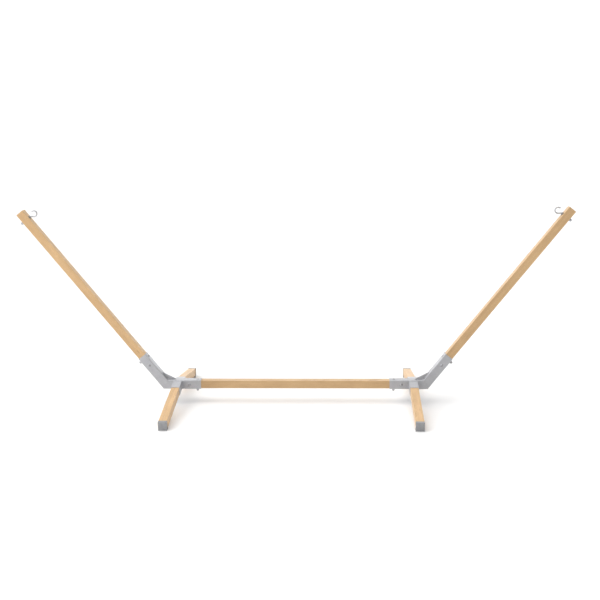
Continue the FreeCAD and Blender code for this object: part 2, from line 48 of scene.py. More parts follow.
# ---------------------------------------------------------------- sizes, as in the CAD model (mm, radians)
TIMBER = 50.0
HALF = TIMBER / 2
ARRIS = 2.0
SETBACK = 20.0
POST_ANGLE = math.radians(51.7)
ELBOW = 821.0
POST_REACH = 1398.0
FOOT_OFFSET = 745.0
SLOPE = math.radians(8.6)
FOOT_REACH = 582.0
FOOT_START = 38.0
GAP = 0.3
WALL = 3.0
TUBE = HALF + GAP + WALL
TUBE_CORNER = 4.0
POST_SOCKET = 232.0
BEAM_SOCKET = 225.0
FOOT_SOCKET = 120.0
GUSSET = 4.0
GUSSET_POST_LEG = 60.0
GUSSET_BEAM_LEG = 52.0
GUSSET_COPE = 9.0
CAP_WALL = 1.2
CAP_GAP = 0.1
CAP_HALF = HALF + CAP_GAP + CAP_WALL
CAP_PLATE = 4.0
CAP_SKIRT = 16.0
SOLE_LENGTH = 40.0
SOLE_DROP = 2.0
BOLT = 10.0
BOLT_HOLE = 10.5
BOLT_HEAD = 17.5
BOLT_HEAD_RIM = 0.8
BOLT_HEAD_CROWN = 4.4
BOLT_KEY = 6.0
BOLT_KEY_DEPTH = 3.2
BOLT_TAIL = 11.0
END_BOLT = 25.0
CROSS_BOLT = 73.0
FOOT_SCREW = 80.0
FOOT_SCREW_LENGTH = 27.0
WASHER = 22.0
WASHER_THICK = 2.0
NUT_FLATS = 17.0
NUT_HEX = 8.0
NUT_DOME = 8.0
NUT_DOME_CENTRE = 10.0
NUT_THREAD = 13.0
HOOK_INSET = 59.0
HOOK_HOLE = 10.16
HOOK_WIRE = 8.8
HOOK_RING = 18.0
HOOK_RING_HEIGHT = 36.0
HOOK_BEND_HEIGHT = 10.5
HOOK_BEND = 8.0
HOOK_TIP = math.radians(10.0)
HOOK_FLOAT = 0.2
JAM_NUT = 5.0
MITRE = math.tan(POST_ANGLE / 2)
FOOT_LENGTH = FOOT_REACH / math.cos(SLOPE)
BEAM_HEIGHT = FOOT_LENGTH * math.sin(SLOPE) + (HALF + CAP_HALF) * math.cos(SLOPE) - HALF + SOLE_DROP

# ---------------------------------------------------------------- details that only the visual model has (mm)
CUT_PAST = 8.0
MERGE_WITHIN = 0.001
WELD_STEP = 0.7
WELD_RIPPLE = 2.8
WELD_SUNK = 0.75
MITRE_WELD = 1.9
FOOT_WELD = 2.3
GUSSET_WELD = 1.7
THREAD_PITCH = 1.5
THREAD_DEPTH = 0.78


# ---------------------------------------------------------------- frames of the members
def frame_at(origin, up, along):
    """Matrix with Z along the member and X towards its top or inner face."""
    x = Vector(up).normalized()
    z = Vector(along).normalized()
    y = z.cross(x)
    matrix = Matrix((x, y, z)).transposed().to_4x4()
    matrix.translation = Vector(origin) * MM
    return matrix


def post_frame(side):
    return frame_at((side * ELBOW, 0, BEAM_HEIGHT),
                    (-side * math.sin(POST_ANGLE), 0, math.cos(POST_ANGLE)),
                    (side * math.cos(POST_ANGLE), 0, math.sin(POST_ANGLE)))


def beam_frame(side):
    return frame_at((side * ELBOW, 0, BEAM_HEIGHT), (0, 0, 1), (-side, 0, 0))


def foot_frame(side, end):
    up = (0, end * math.sin(SLOPE), math.cos(SLOPE))
    along = (0, end * math.cos(SLOPE), -math.sin(SLOPE))
    return frame_at((side * FOOT_OFFSET, -HALF * up[1], BEAM_HEIGHT + HALF - HALF * up[2]), up, along)


def moved(matrix, x=0.0, y=0.0, z=0.0):
    return matrix @ Matrix.Translation(Vector((x, y, z)) * MM)


def turned(matrix, axis, degrees):
    return matrix @ Matrix.Rotation(math.radians(degrees), 4, axis)


def hook_frame(side):
    """On the post's axis at the hook's hole: Z out of the inner face, X down the post."""
    return turned(moved(post_frame(side), z=POST_REACH - HOOK_INSET), "Y", 90)


# ---------------------------------------------------------------- mesh tools
def new_piece(name, bm, matrix, body, material, smooth=35):
    """Turn a bmesh in mm into a finished object that rides on a body."""
    bmesh.ops.recalc_face_normals(bm, faces=bm.faces)
    bmesh.ops.scale(bm, vec=(MM, MM, MM), verts=bm.verts)
    mesh = bpy.data.meshes.new(name)
    bm.to_mesh(mesh)
    bm.free()
    for polygon in mesh.polygons:
        polygon.use_smooth = True
    mesh.set_sharp_from_angle(angle=math.radians(smooth))
    mesh.materials.append(material)
    piece = bpy.data.objects.new(name, mesh)
    bpy.context.scene.collection.objects.link(piece)
    piece.matrix_world = matrix
    weighted = piece.modifiers.new("weighted", "WEIGHTED_NORMAL")
    weighted.keep_sharp = True
    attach(piece, body)
    return piece


def skin(bm, rings, loop=False):
    """Faces between rings of (x, y, z, wear) points. An open stack of rings is closed at both ends."""
    wear = bm.verts.layers.float.get("wear") or bm.verts.layers.float.new("wear")
    rows = []
    for ring in rings:
        row = []
        for x, y, z, amount in ring:
            vertex = bm.verts.new((x, y, z))
            vertex[wear] = amount
            row.append(vertex)
        rows.append(row)
    count = len(rows[0])
    pairs = list(zip(rows, rows[1:]))
    if loop:
        pairs.append((rows[-1], rows[0]))
    for low, high in pairs:
        for index in range(count):
            after = (index + 1) % count
            bm.faces.new((low[index], low[after], high[after], high[index]))
    if not loop:
        bm.faces.new(list(reversed(rows[0])))
        bm.faces.new(rows[-1])


def rounded_square(half, radius, steps=6):
    """Points (x, y, wear) round a square with round corners; wear is 1 in the middle of a corner."""
    flat = half - radius
    points = []
    for corner, (x, y) in enumerate(((1, -1), (1, 1), (-1, 1), (-1, -1))):
        for step in range(steps + 1):
            angle = math.radians(270 + 90 * corner + 90 * step / steps)
            amount = 1 - abs(2 * step / steps - 1)
            points.append((x * flat + radius * math.cos(angle), y * flat + radius * math.sin(angle), amount))
    return points


def square_ring(half, radius, height, edge=0.0):
    """A rounded square lifted to a height, which is a number or a function of x."""
    ring = []
    for x, y, amount in rounded_square(half, radius):
        z = height(x) if callable(height) else height
        ring.append((x, y, z, max(amount, edge)))
    return ring


def round_ring(radius, z, segments=72):
    ring = []
    for index in range(segments):
        angle = 2 * math.pi * index / segments
        ring.append((radius * math.cos(angle), radius * math.sin(angle), z, 0.0))
    return ring


def lathe(bm, profile, segments=48, loop=False):
    """Turn a profile of (radius, z) about Z. An open profile is closed at its ends by flat discs."""
    skin(bm, [round_ring(radius, z, segments) for radius, z in profile], loop)


def prism(bm, outline, half_width, bevel):
    """A flat outline in the XZ plane, pulled out both ways along Y, with its edges rounded."""
    front = [bm.verts.new((x, -half_width, z)) for x, z in outline]
    back = [bm.verts.new((x, half_width, z)) for x, z in outline]
    faces = [bm.faces.new(front), bm.faces.new(list(reversed(back)))]
    count = len(outline)
    for index in range(count):
        after = (index + 1) % count
        faces.append(bm.faces.new((front[after], front[index], back[index], back[after])))
    bmesh.ops.recalc_face_normals(bm, faces=faces)
    edges = {edge for face in faces for edge in face.edges}
    bmesh.ops.bevel(bm, geom=list(edges), offset=bevel, segments=3, profile=0.5, affect="EDGES")


def holes(places, reach, diameter):
    """Cutter of round bars through a member. places are (axis, distance along the member).

    An axis of UNDER is a blind hole, from the underside to the member's own axis.
    """
    bm = bmesh.new()
    for axis, along in places:
        bar = bmesh.new()
        lathe(bar, [(diameter / 2, -reach), (diameter / 2, 0.0 if axis == "UNDER" else reach)], 40)
        turn = Matrix.Rotation(math.radians(90), 4, "X" if axis == "Y" else "Y")
        bmesh.ops.transform(bar, matrix=Matrix.Translation((0, 0, along)) @ turn, verts=bar.verts)
        merge(bm, bar)
    return bm


def merge(bm, other):
    """Add another bmesh's solids to this one."""
    mesh = bpy.data.meshes.new("scratch")
    other.to_mesh(mesh)
    other.free()
    bm.from_mesh(mesh)
    bpy.data.meshes.remove(mesh)


def combined(bm, tool, operation):
    """The exact boolean of two bmeshes, as a new bmesh."""
    pair = []
    for source in (bm, tool):
        bmesh.ops.recalc_face_normals(source, faces=source.faces)
        mesh = bpy.data.meshes.new("scratch")
        source.to_mesh(mesh)
        source.free()
        item = bpy.data.objects.new("scratch", mesh)
        bpy.context.scene.collection.objects.link(item)
        pair.append(item)
    base, cutter = pair
    modifier = base.modifiers.new("boolean", "BOOLEAN")
    modifier.operation = operation
    modifier.solver = "EXACT"
    modifier.object = cutter
    bpy.context.view_layer.update()
    result = bpy.data.meshes.new_from_object(base.evaluated_get(bpy.context.evaluated_depsgraph_get()))
    out = bmesh.new()
    out.from_mesh(result)
    bmesh.ops.remove_doubles(out, verts=out.verts, dist=MERGE_WITHIN)
    bpy.data.meshes.remove(result)
    for item in pair:
        mesh = item.data
        bpy.data.objects.remove(item)
        bpy.data.meshes.remove(mesh)
    return out


def sweep(bm, path, radii, closed, segments=10):
    """A round bar along a path of points, with one radius per point."""
    count = len(path)
    rings = []
    normal = None
    for index, point in enumerate(path):
        before = path[index - 1] if index or closed else point
        after = path[(index + 1) % count] if index < count - 1 or closed else point
        tangent = (after - before).normalized()
        if normal is None:
            normal = tangent.orthogonal().normalized()
        normal = (normal - tangent * normal.dot(tangent)).normalized()
        side = tangent.cross(normal)
        ring = []
        for step in range(segments):
            angle = 2 * math.pi * step / segments
            spot = point + (normal * math.cos(angle) + side * math.sin(angle)) * radii[index]
            ring.append((spot.x, spot.y, spot.z, 0.0))
        rings.append(ring)
    skin(bm, rings, closed)


def resampled(points, step, closed=False):
    """Evenly spaced points along a polyline."""
    line = list(points) + ([points[0]] if closed else [])
    lengths = [(b - a).length for a, b in zip(line, line[1:])]
    total = sum(lengths)
    count = max(2, round(total / step))
    out = []
    for index in range(count if closed else count + 1):
        left = total * index / count
        for (a, b), length in zip(zip(line, line[1:]), lengths):
            if left <= length or b is line[-1]:
                out.append(a.lerp(b, min(1.0, left / length) if length else 0.0))
                break
            left -= length
    return out


def weld_bead(bm, points, radius, closed=False):
    """A rippled weld along a line, half sunk in the metal."""
    path = resampled(points, WELD_STEP, closed)
    radii = []
    for index in range(len(path)):
        ripple = 0.5 + 0.5 * math.cos(2 * math.pi * index * WELD_STEP / WELD_RIPPLE)
        drift = 0.05 * math.sin(index * 0.37) + 0.04 * math.sin(index * 0.113 + 1)
        taper = 1.0
        if not closed:
            taper = min(1.0, 0.35 + 0.25 * min(index, len(path) - 1 - index))
        radii.append(radius * (0.86 + 0.14 * ripple + drift) * taper)
    sweep(bm, path, radii, closed)


# ---------------------------------------------------------------- material tools
class Nodes:
    """Short names for adding nodes to one material."""

    def __init__(self, name):
        self.material = bpy.data.materials.new(name)
        self.material.use_nodes = True
        self.tree = self.material.node_tree
        self.shader = self.tree.nodes["Principled BSDF"]

    def add(self, kind, **settings):
        node = self.tree.nodes.new(kind)
        for key, setting in settings.items():
            setattr(node, key, setting)
        return node

    def link(self, source, target):
        self.tree.links.new(source, target)

    def math(self, operation, first, second=0.0):
        node = self.add("ShaderNodeMath", operation=operation)
        for socket, term in zip(node.inputs, (first, second)):
            if isinstance(term, (int, float)):
                socket.default_value = term
            else:
                self.link(term, socket)
        return node.outputs[0]

    def coordinates(self):
        """Object coordinates in millimetres."""
        place = self.add("ShaderNodeTexCoord")
        scale = self.add("ShaderNodeVectorMath", operation="SCALE")
        scale.inputs["Scale"].default_value = 1000.0
        self.link(place.outputs["Object"], scale.inputs[0])
        return scale.outputs[0]

    def stretched(self, vector, scale, offset=(0.0, 0.0, 0.0)):
        mapping = self.add("ShaderNodeMapping")
        mapping.inputs["Scale"].default_value = scale
        mapping.inputs["Location"].default_value = offset
        self.link(vector, mapping.inputs["Vector"])
        return mapping.outputs[0]

    def noise(self, vector, scale=1.0, detail=3.0, roughness=0.5, distortion=0.0):
        node = self.add("ShaderNodeTexNoise")
        node.inputs["Scale"].default_value = scale
        node.inputs["Detail"].default_value = detail
        node.inputs["Roughness"].default_value = roughness
        node.inputs["Distortion"].default_value = distortion
        self.link(vector, node.inputs["Vector"])
        return node.outputs["Fac"]

    def ramp(self, value, stops, ease="LINEAR"):
        node = self.add("ShaderNodeValToRGB")
        node.color_ramp.interpolation = ease
        elements = node.color_ramp.elements
        while len(elements) < len(stops):
            elements.new(0.5)
        for element, (position, colour) in zip(elements, stops):
            element.position = position
            if isinstance(colour, (int, float)):
                colour = (colour, colour, colour)
            element.color = (*colour, 1.0)
        self.link(value, node.inputs["Fac"])
        return node.outputs["Color"]

    def mixed(self, factor, first, second, blend="MIX"):
        node = self.add("ShaderNodeMix", data_type="RGBA", blend_type=blend)
        for socket, term in ((node.inputs[0], factor), (node.inputs[6], first), (node.inputs[7], second)):
            if isinstance(term, (int, float)):
                socket.default_value = term
            elif isinstance(term, tuple):
                socket.default_value = (*term, 1.0)
            else:
                self.link(term, socket)
        return node.outputs[2]

    def range(self, value, low, high, to_low, to_high):
        node = self.add("ShaderNodeMapRange")
        node.clamp = True
        for socket, number in zip(node.inputs[1:5], (low, high, to_low, to_high)):
            socket.default_value = number
        self.link(value, node.inputs["Value"])
        return node.outputs["Result"]

    def attribute(self, name):
        return self.add("ShaderNodeAttribute", attribute_name=name).outputs["Fac"]

    def bump(self, height, distance, strength, below=None):
        node = self.add("ShaderNodeBump")
        node.inputs["Distance"].default_value = distance
        node.inputs["Strength"].default_value = strength
        self.link(height, node.inputs["Height"])
        if below is not None:
            self.link(below, node.inputs["Normal"])
        return node.outputs["Normal"]


def wood(name, seed, pith, tone=1.0):
    """Planed, clear-sealed pine. pith is where the tree's heart lies from the member's axis, in mm. tone
    scales the colour: partly the timber's own shade and partly painted light where one member is lit more
    than another.
    """
    n = Nodes(name)
    place = n.coordinates()
    shift = (seed * 13.7, seed * 7.1, seed * 311.0)

    drift_x = n.noise(n.stretched(place, (0.010, 0.010, 0.0021), shift), 1.0, 2.0)
    drift_y = n.noise(n.stretched(place, (0.011, 0.011, 0.0017), shift[::-1]), 1.0, 2.0)
    split = n.add("ShaderNodeSeparateXYZ")
    n.link(place, split.inputs[0])
    away_x = n.math("ADD", n.math("SUBTRACT", split.outputs[0], pith[0]), n.math("MULTIPLY", drift_x, 16.0))
    away_y = n.math("ADD", n.math("SUBTRACT", split.outputs[1], pith[1]), n.math("MULTIPLY", drift_y, 16.0))
    distance = n.math("SQRT", n.math("ADD", n.math("POWER", n.math("ABSOLUTE", away_x), 2.0),
                                     n.math("POWER", n.math("ABSOLUTE", away_y), 2.0)))

    knot_cells = n.add("ShaderNodeTexVoronoi", feature="F1")
    knot_cells.inputs["Scale"].default_value = 1.0
    n.link(n.stretched(place, (0.016, 0.016, 0.0052), (seed * 3.3, seed * 1.9, seed * 5.7)),
           knot_cells.inputs["Vector"])
    knot = n.range(knot_cells.outputs["Distance"], 0.055, 0.095, 1.0, 0.0)
    knot_swell = n.range(knot_cells.outputs["Distance"], 0.05, 0.30, 1.0, 0.0)

    wobble = n.noise(n.stretched(place, (0.09, 0.09, 0.006), shift), 1.0, 3.0)
    rings = n.math("ADD", n.math("DIVIDE", distance, 2.9), n.math("MULTIPLY", wobble, 0.55))
    rings = n.math("ADD", rings, n.math("MULTIPLY", knot_swell, 1.9))
    phase = n.math("FRACT", rings)
    ring_vector = n.add("ShaderNodeCombineXYZ")
    n.link(n.math("FLOOR", rings), ring_vector.inputs[0])
    ring_tone = n.noise(ring_vector.outputs[0], 0.73, 1.0)
    grain = n.ramp(phase, [
        (0.00, (0.650 * tone, 0.442 * tone, 0.232 * tone)),
        (0.45, (0.620 * tone, 0.408 * tone, 0.205 * tone)),
        (0.80, (0.535 * tone, 0.322 * tone, 0.143 * tone)),
        (0.93, (0.465 * tone, 0.262 * tone, 0.108 * tone)),
        (1.00, (0.635 * tone, 0.430 * tone, 0.222 * tone)),
    ], "EASE")

    patch = n.noise(n.stretched(place, (0.016, 0.016, 0.0055), shift), 1.0, 3.0, 0.6)
    patch_tones = [(0.30, (0.90, 0.875, 0.85)), (0.70, (1.07, 1.08, 1.09))]
    grain = n.mixed(1.0, grain, n.ramp(patch, patch_tones), "MULTIPLY")
    grain = n.mixed(1.0, grain, n.ramp(ring_tone, [(0.30, 0.93), (0.70, 1.06)]), "MULTIPLY")
    fibre = n.noise(n.stretched(place, (1.9, 1.9, 0.035), shift), 1.0, 4.0, 0.62)
    grain = n.mixed(1.0, grain, n.ramp(fibre, [(0.28, 0.90), (0.72, 1.07)]), "MULTIPLY")
    duct = n.noise(n.stretched(place, (1.1, 1.1, 0.045), shift[::-1]), 1.0, 1.0)
    duct = n.range(duct, 0.69, 0.76, 0.0, 0.55)
    grain = n.mixed(duct, grain, (0.33 * tone, 0.17 * tone, 0.065 * tone))
    grain = n.mixed(n.math("MULTIPLY", knot, 0.42), grain, (0.30 * tone, 0.155 * tone, 0.062 * tone))

    facing = n.add("ShaderNodeTexCoord")
    normal = n.add("ShaderNodeSeparateXYZ")
    n.link(facing.outputs["Normal"], normal.inputs[0])
    end_grain = n.range(n.math("ABSOLUTE", normal.outputs[2]), 0.55, 0.90, 0.0, 1.0)
    end_share = n.math("MULTIPLY", end_grain, 0.85)
    grain = n.mixed(end_share, grain, n.mixed(1.0, grain, (0.76, 0.68, 0.60), "MULTIPLY"))
    wear = n.attribute("wear")
    scuff = n.noise(n.stretched(place, (0.22, 0.22, 0.03), shift), 1.0, 3.0)
    worn = n.math("MULTIPLY", wear, n.range(scuff, 0.45, 0.70, 0.10, 0.75))
    grain = n.mixed(worn, grain, (0.70 * tone, 0.52 * tone, 0.335 * tone))
    n.link(grain, n.shader.inputs["Base Color"])

    rough = n.math("ADD", n.math("MULTIPLY", fibre, 0.22), 0.36)
    rough = n.math("ADD", rough, n.math("MULTIPLY", end_grain, 0.22))
    n.link(rough, n.shader.inputs["Roughness"])
    relief = n.math("ADD", n.math("MULTIPLY", fibre, 0.8), n.math("MULTIPLY", phase, 0.35))
    n.link(n.bump(relief, 0.00022, 0.55), n.shader.inputs["Normal"])
    n.shader.inputs["Specular IOR Level"].default_value = 0.5
    n.shader.inputs["Coat Weight"].default_value = 0.12
    n.shader.inputs["Coat Roughness"].default_value = 0.32
    return n.material


def bracket_paint(name, tone=1.0):
    """Silver-grey powder coat: fine flake, orange peel, and thin rubbed edges. tone scales the whole colour:
    painted light above 1, painted shade below 1.
    """
    n = Nodes(name)
    place = n.coordinates()
    cloud = n.noise(place, 0.021, 4.0, 0.55)
    flake = n.noise(place, 2.6, 2.0, 0.7)
    colour = n.ramp(cloud, [(0.30, (0.375 * tone, 0.378 * tone, 0.398 * tone)),
                            (0.70, (0.440 * tone, 0.442 * tone, 0.462 * tone))])
    colour = n.mixed(1.0, colour, n.ramp(flake, [(0.30, 0.90), (0.50, 1.0), (0.74, 1.22)]), "MULTIPLY")
    scratch = n.noise(n.stretched(place, (0.85, 0.85, 0.03)), 1.0, 3.0, 0.6, 0.4)
    scratch = n.range(scratch, 0.71, 0.76, 0.0, 0.45)
    colour = n.mixed(scratch, colour, (0.50 * tone, 0.505 * tone, 0.515 * tone))
    rub = n.noise(place, 0.14, 4.0, 0.6)
    worn = n.math("MULTIPLY", n.attribute("wear"), n.range(rub, 0.48, 0.66, 0.05, 0.8))
    colour = n.mixed(worn, colour, (0.56, 0.565, 0.575))
    n.link(colour, n.shader.inputs["Base Color"])
    rough = n.math("ADD", n.math("MULTIPLY", cloud, 0.16), 0.34)
    rough = n.math("SUBTRACT", rough, n.math("MULTIPLY", worn, 0.10))
    n.link(rough, n.shader.inputs["Roughness"])
    peel = n.noise(place, 0.55, 2.0, 0.45)
    n.link(n.bump(peel, 0.00025, 0.35, n.bump(flake, 0.00005, 0.5)), n.shader.inputs["Normal"])
    n.shader.inputs["Metallic"].default_value = 0.45
    n.shader.inputs["Coat Weight"].default_value = 0.15
    n.shader.inputs["Coat Roughness"].default_value = 0.25
    return n.material


def zinc(name, colour, roughness, grain_scale):
    """Zinc-plated steel: a faint blue and straw bloom, drawn marks and dulled spots."""
    n = Nodes(name)
    place = n.coordinates()
    bloom = n.noise(place, 0.11, 3.0, 0.6)
    tint = n.ramp(bloom, [
        (0.30, (colour[0] * 1.06, colour[1] * 1.02, colour[2] * 0.93)),
        (0.52, colour),
        (0.74, (colour[0] * 0.90, colour[1] * 0.96, colour[2] * 1.06)),
    ])
    dull = n.noise(place, 0.6, 4.0, 0.7)
    tint = n.mixed(n.range(dull, 0.56, 0.74, 0.0, 0.5), tint, tuple(0.55 * part for part in colour))
    n.link(tint, n.shader.inputs["Base Color"])
    marks = n.noise(n.stretched(place, grain_scale), 1.0, 3.0, 0.6)
    rough = n.math("ADD", n.math("MULTIPLY", marks, 0.20), roughness - 0.10)
    rough = n.math("ADD", rough, n.range(dull, 0.56, 0.74, 0.0, 0.18))
    n.link(rough, n.shader.inputs["Roughness"])
    n.link(n.bump(marks, 0.00005, 0.5), n.shader.inputs["Normal"])
    n.shader.inputs["Metallic"].default_value = 1.0
    return n.material


def cap_plastic(name):
    """Moulded grey plastic with a fine spark-eroded skin, scuffed pale where it is knocked."""
    n = Nodes(name)
    place = n.coordinates()
    cloud = n.noise(place, 0.05, 3.0, 0.5)
    colour = n.ramp(cloud, [(0.30, (0.255, 0.255, 0.262)), (0.70, (0.305, 0.305, 0.312))])
    skin_grain = n.noise(place, 1.9, 3.0, 0.6)
    colour = n.mixed(1.0, colour, n.ramp(skin_grain, [(0.30, 0.92), (0.70, 1.08)]), "MULTIPLY")
    scuff = n.noise(n.stretched(place, (0.45, 0.12, 0.45)), 1.0, 4.0, 0.7, 0.6)
    scuff = n.range(scuff, 0.60, 0.72, 0.0, 0.35)
    colour = n.mixed(scuff, colour, (0.42, 0.42, 0.42))
    n.link(colour, n.shader.inputs["Base Color"])
    n.link(n.math("ADD", n.math("MULTIPLY", skin_grain, 0.15), 0.50), n.shader.inputs["Roughness"])
    n.link(n.bump(skin_grain, 0.00018, 0.5), n.shader.inputs["Normal"])
    return n.material


# Painted light and shade: one powder coat in two copies. The left bracket's coat is painted 1.06 times
# brighter, as if lit from the left, and the right one's 0.98 times darker, as if in shade.
LIT_AND_SHADED_PAINT = {side: bracket_paint(f"bracket_paint_{name}", tone)
         for side, name, tone in ((-1, "left", 1.06), (1, "right", 0.98))}
HOOK_STEEL = zinc("hook_zinc", (0.47, 0.475, 0.49), 0.28, (0.5, 0.5, 0.5))
FASTENER_STEEL = zinc("fastener_zinc", (0.40, 0.405, 0.42), 0.24, (1.2, 1.2, 0.2))
CAP = cap_plastic("cap_plastic")
STAND_FRAME = Matrix.Identity(4)


# ---------------------------------------------------------------- timbers
def timber(name, matrix, length, drillings, material, node):
    """A planed timber with eased arrises, chamfered ends and its bolt holes."""
    bm = bmesh.new()
    # inset from the side, distance from the end, wear
    chamfer = ((1.3, 0.0, 1.0), (0.45, 0.45, 1.0), (0.0, 1.3, 0.7), (0.0, 7.0, 0.0))
    rings = [square_ring(HALF - inset, ARRIS, z, edge) for inset, z, edge in chamfer]
    rings += [square_ring(HALF - inset, ARRIS, length - z, edge) for inset, z, edge in reversed(chamfer)]
    skin(bm, rings)
    for places, diameter in drillings:
        bm = combined(bm, holes(places, HALF + CUT_PAST, diameter), "DIFFERENCE")
    piece = new_piece(name, bm, matrix, "stand", material)
    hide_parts(node)


def post(side, name, material):
    length = POST_REACH - SETBACK
    bolts = [("X", POST_SOCKET - END_BOLT - SETBACK), ("Y", POST_SOCKET - CROSS_BOLT - SETBACK)]
    hook = [("X", POST_REACH - HOOK_INSET - SETBACK)]
    timber(f"{name}_post_timber", moved(post_frame(side), z=SETBACK), length,
           [(bolts, BOLT_HOLE), (hook, HOOK_HOLE)], material, f"{name}_post")


def beam(material):
    length = 2 * (ELBOW - SETBACK)
    up = BEAM_SOCKET - END_BOLT - SETBACK
    cross = BEAM_SOCKET - CROSS_BOLT - SETBACK
    places = [("X", up), ("X", length - up), ("Y", cross), ("Y", length - cross)]
    timber("centre_beam_timber", moved(beam_frame(-1), z=SETBACK), length, [(places, BOLT_HOLE)], material,
           "centre_beam")


def foot(side, end, name, material):
    length = FOOT_LENGTH - CAP_PLATE - FOOT_START
    timber(f"{name}_foot_timber", moved(foot_frame(side, end), z=FOOT_START), length,
           [([("UNDER", FOOT_SCREW - FOOT_START)], BOLT_HOLE)], material, f"{name}_foot")


# ---------------------------------------------------------------- welded brackets
def tube(name, matrix, start, length, places, material, node):
    """Square tube with a shaped start, a square end, thick walls and softened edges."""
    inner = TUBE - WALL
    inner_corner = TUBE_CORNER - WALL

    def after(lift):
        return lambda x: start(x) + lift

    bm = bmesh.new()
    rings = [
        square_ring(TUBE - 0.6, TUBE_CORNER - 0.6, after(0.0), 1.0),
        square_ring(TUBE - 0.18, TUBE_CORNER - 0.18, after(0.18), 1.0),
        square_ring(TUBE, TUBE_CORNER, after(0.6), 0.8),
        square_ring(TUBE, TUBE_CORNER, after(5.0), 0.0),
        square_ring(TUBE, TUBE_CORNER, length - 5.0, 0.0),
        square_ring(TUBE, TUBE_CORNER, length - 0.6, 0.8),
        square_ring(TUBE - 0.18, TUBE_CORNER - 0.18, length - 0.18, 1.0),
        square_ring(TUBE - 0.6, TUBE_CORNER - 0.6, length, 1.0),
        square_ring(inner + 0.35, inner_corner + 0.35, length, 1.0),
        square_ring(inner, inner_corner, length - 0.35, 0.4),
        square_ring(inner, inner_corner, after(0.35), 0.0),
        square_ring(inner + 0.35, inner_corner + 0.35, after(0.0), 0.0),
    ]
    skin(bm, rings, loop=True)
    bm = combined(bm, holes(places, TUBE + CUT_PAST, BOLT_HOLE), "DIFFERENCE")
    piece = new_piece(name, bm, matrix, "stand", material)
    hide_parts(node)


def foot_cut(x):
    """Where a foot socket meets the upright side of the beam socket, along its own axis."""
    return (TUBE - math.sin(SLOPE) * (x - HALF)) / math.cos(SLOPE)


def gusset(side, name):
    corner = TUBE * MITRE
    lean = (math.sin(POST_ANGLE), math.cos(POST_ANGLE))
    tip_x = TUBE + GUSSET_POST_LEG * lean[0]
    tip_z = corner - GUSSET_POST_LEG * lean[1]
    beam_leg = corner + GUSSET_BEAM_LEG
    outline = [
        (TUBE, corner + GUSSET_COPE),
        (TUBE, beam_leg),
        (TUBE + GUSSET_COPE / 3, beam_leg),
        (tip_x, tip_z + GUSSET_COPE / 3),
        (tip_x, tip_z),
        (TUBE + GUSSET_COPE * lean[0], corner - GUSSET_COPE * lean[1]),
    ]
    bm = bmesh.new()
    prism(bm, outline, GUSSET / 2, 0.7)
    piece = new_piece(f"{name}_gusset_plate", bm, beam_frame(side), "stand", LIT_AND_SHADED_PAINT[side])
    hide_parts(f"{name}_gusset")


def foot_weld_path(side, end):
    """Round the end of a foot socket in the beam tube's frame: up one side, over the top and down the other.

    The socket's lower edge hangs below the beam tube, so the bead stops just above the tube's lower corner.
    """
    stop = 3.0
    start = HALF + TUBE * math.sin(SLOPE) + math.cos(SLOPE) * (stop - TUBE - HALF)
    half = TUBE - 0.2
    over = [(x, y) for x, y, _ in rounded_square(half, TUBE_CORNER) if x > 0]
    line = [(start, -half)] + over + [(start, half)]
    to_beam = beam_frame(side).inverted() @ foot_frame(side, end)
    return [to_beam @ (Vector((x, y, foot_cut(x) + 0.4)) * MM) / MM for x, y in line]


def welds(side, name):
    """All the weld beads of one bracket, in the beam socket's frame."""
    bm = bmesh.new()
    sunk = WELD_SUNK
    mitre = [Vector((x, y, MITRE * x)) for x, y, _ in rounded_square(TUBE - sunk, TUBE_CORNER - sunk)]
    weld_bead(bm, mitre, MITRE_WELD, closed=True)
    for end in (-1, 1):
        weld_bead(bm, foot_weld_path(side, end), FOOT_WELD)
    corner = TUBE * MITRE
    for y in (-GUSSET / 2 - 0.2, GUSSET / 2 + 0.2):
        weld_bead(bm, [Vector((TUBE + 0.2, y, corner + GUSSET_COPE + 1)),
                       Vector((TUBE + 0.2, y, corner + GUSSET_BEAM_LEG - 2))], GUSSET_WELD)
        up = Vector((math.sin(POST_ANGLE), 0, -math.cos(POST_ANGLE)))
        start = Vector((TUBE, y, corner)) + Vector((math.cos(POST_ANGLE), 0, math.sin(POST_ANGLE))) * 0.2
        weld_bead(bm, [start + up * (GUSSET_COPE + 1), start + up * (GUSSET_POST_LEG - 2)], GUSSET_WELD)
    piece = f"{name}_weld_beads"
    new_piece(piece, bm, beam_frame(side), "stand", LIT_AND_SHADED_PAINT[side], smooth=70)


